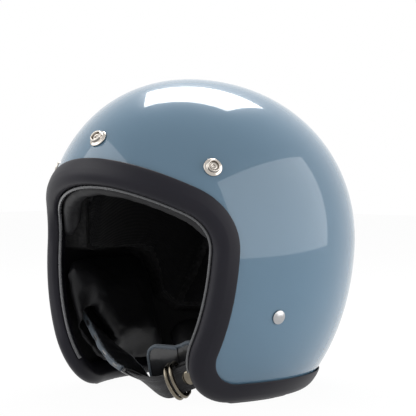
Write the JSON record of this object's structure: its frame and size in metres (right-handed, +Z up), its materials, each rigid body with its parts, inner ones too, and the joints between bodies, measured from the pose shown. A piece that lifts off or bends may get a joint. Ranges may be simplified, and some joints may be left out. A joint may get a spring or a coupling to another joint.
{
  "type": "open face motorcycle helmet",
  "caption": "Open face helmet: gloss shell with thick rubber edge, padded lining, brow snap studs for a peak and a chin strap buckled through D-rings.",
  "frame": {"origin": "middle of the bounding box's bottom, on the floor the helmet stands on", "axes": "+Z up, -Y the way the wearer faces, +X the wearer's left"},
  "size_m": [0.2288, 0.2608, 0.2418],
  "materials": {
    "shell_paint": "high-gloss paint under clear coat",
    "trim_rubber": "satin black",
    "foam": "dull black bead foam",
    "lining_cloth": "dull black knit",
    "pad_leather": "satin black",
    "piping": "satin dark grey",
    "chrome": "bright plated",
    "steel": "satin",
    "webbing": "woven black",
    "sleeve_vinyl": "glossy black"
  },
  "bodies": {
    "helmet": {"outer_shell": "shell_paint", "edge_trim": "trim_rubber", "foam_liner": "foam", "liner_crown_left": "lining_cloth", "liner_crown_right": "lining_cloth", "liner_front": "lining_cloth", "liner_left": "lining_cloth", "liner_rear": "lining_cloth", "liner_right": "lining_cloth", "brow_pad": "pad_leather", "neck_roll": "pad_leather", "cheek_pad_left": "pad_leather", "cheek_pad_right": "pad_leather", "liner_welt": "piping", "visor_stud_centre": "chrome", "visor_stud_left": "chrome", "visor_stud_right": "chrome", "visor_stud_eyelet_centre": "chrome", "visor_stud_eyelet_left": "chrome", "visor_stud_eyelet_right": "chrome", "visor_stud_washer_centre": "steel", "visor_stud_washer_left": "steel", "visor_stud_washer_right": "steel", "strap_rivet_left": "steel", "strap_rivet_right": "steel"},
    "chin_strap": {"strap_plate_left": "steel", "strap_plate_right": "steel", "chin_webbing_left": "webbing", "chin_webbing_right": "webbing", "strap_sleeve_left": "sleeve_vinyl", "strap_sleeve_right": "sleeve_vinyl", "ring_flap": "sleeve_vinyl", "tail_snap_cap": "chrome", "tail_snap_socket": "chrome"},
    "d_ring_inner": {"d_ring_inner": "chrome"},
    "d_ring_outer": {"d_ring_outer": "chrome"}
  },
  "joints": [
    {"name": "chin_strap_swing", "type": "hinge", "parent": "helmet", "child": "chin_strap", "pos_m": [0, -0.03287, 0.06612], "axis": [-1, 0, 0], "range_deg": [0, 12]},
    {"name": "d_ring_inner_tilt", "type": "hinge", "parent": "chin_strap", "child": "d_ring_inner", "pos_m": [0.035, -0.06094, 0.018], "axis": [-0.2791, -0.3578, 0.8911], "range_deg": [0, 18]},
    {"name": "d_ring_outer_tilt", "type": "hinge", "parent": "chin_strap", "child": "d_ring_outer", "pos_m": [0.0311, -0.06209, 0.01632], "axis": [-0.2791, -0.3578, 0.8911], "range_deg": [0, 18]}
  ],
  "couplings": [
    {"joint": "d_ring_outer_tilt", "follows": "d_ring_inner_tilt", "ratio": 1}
  ]
}
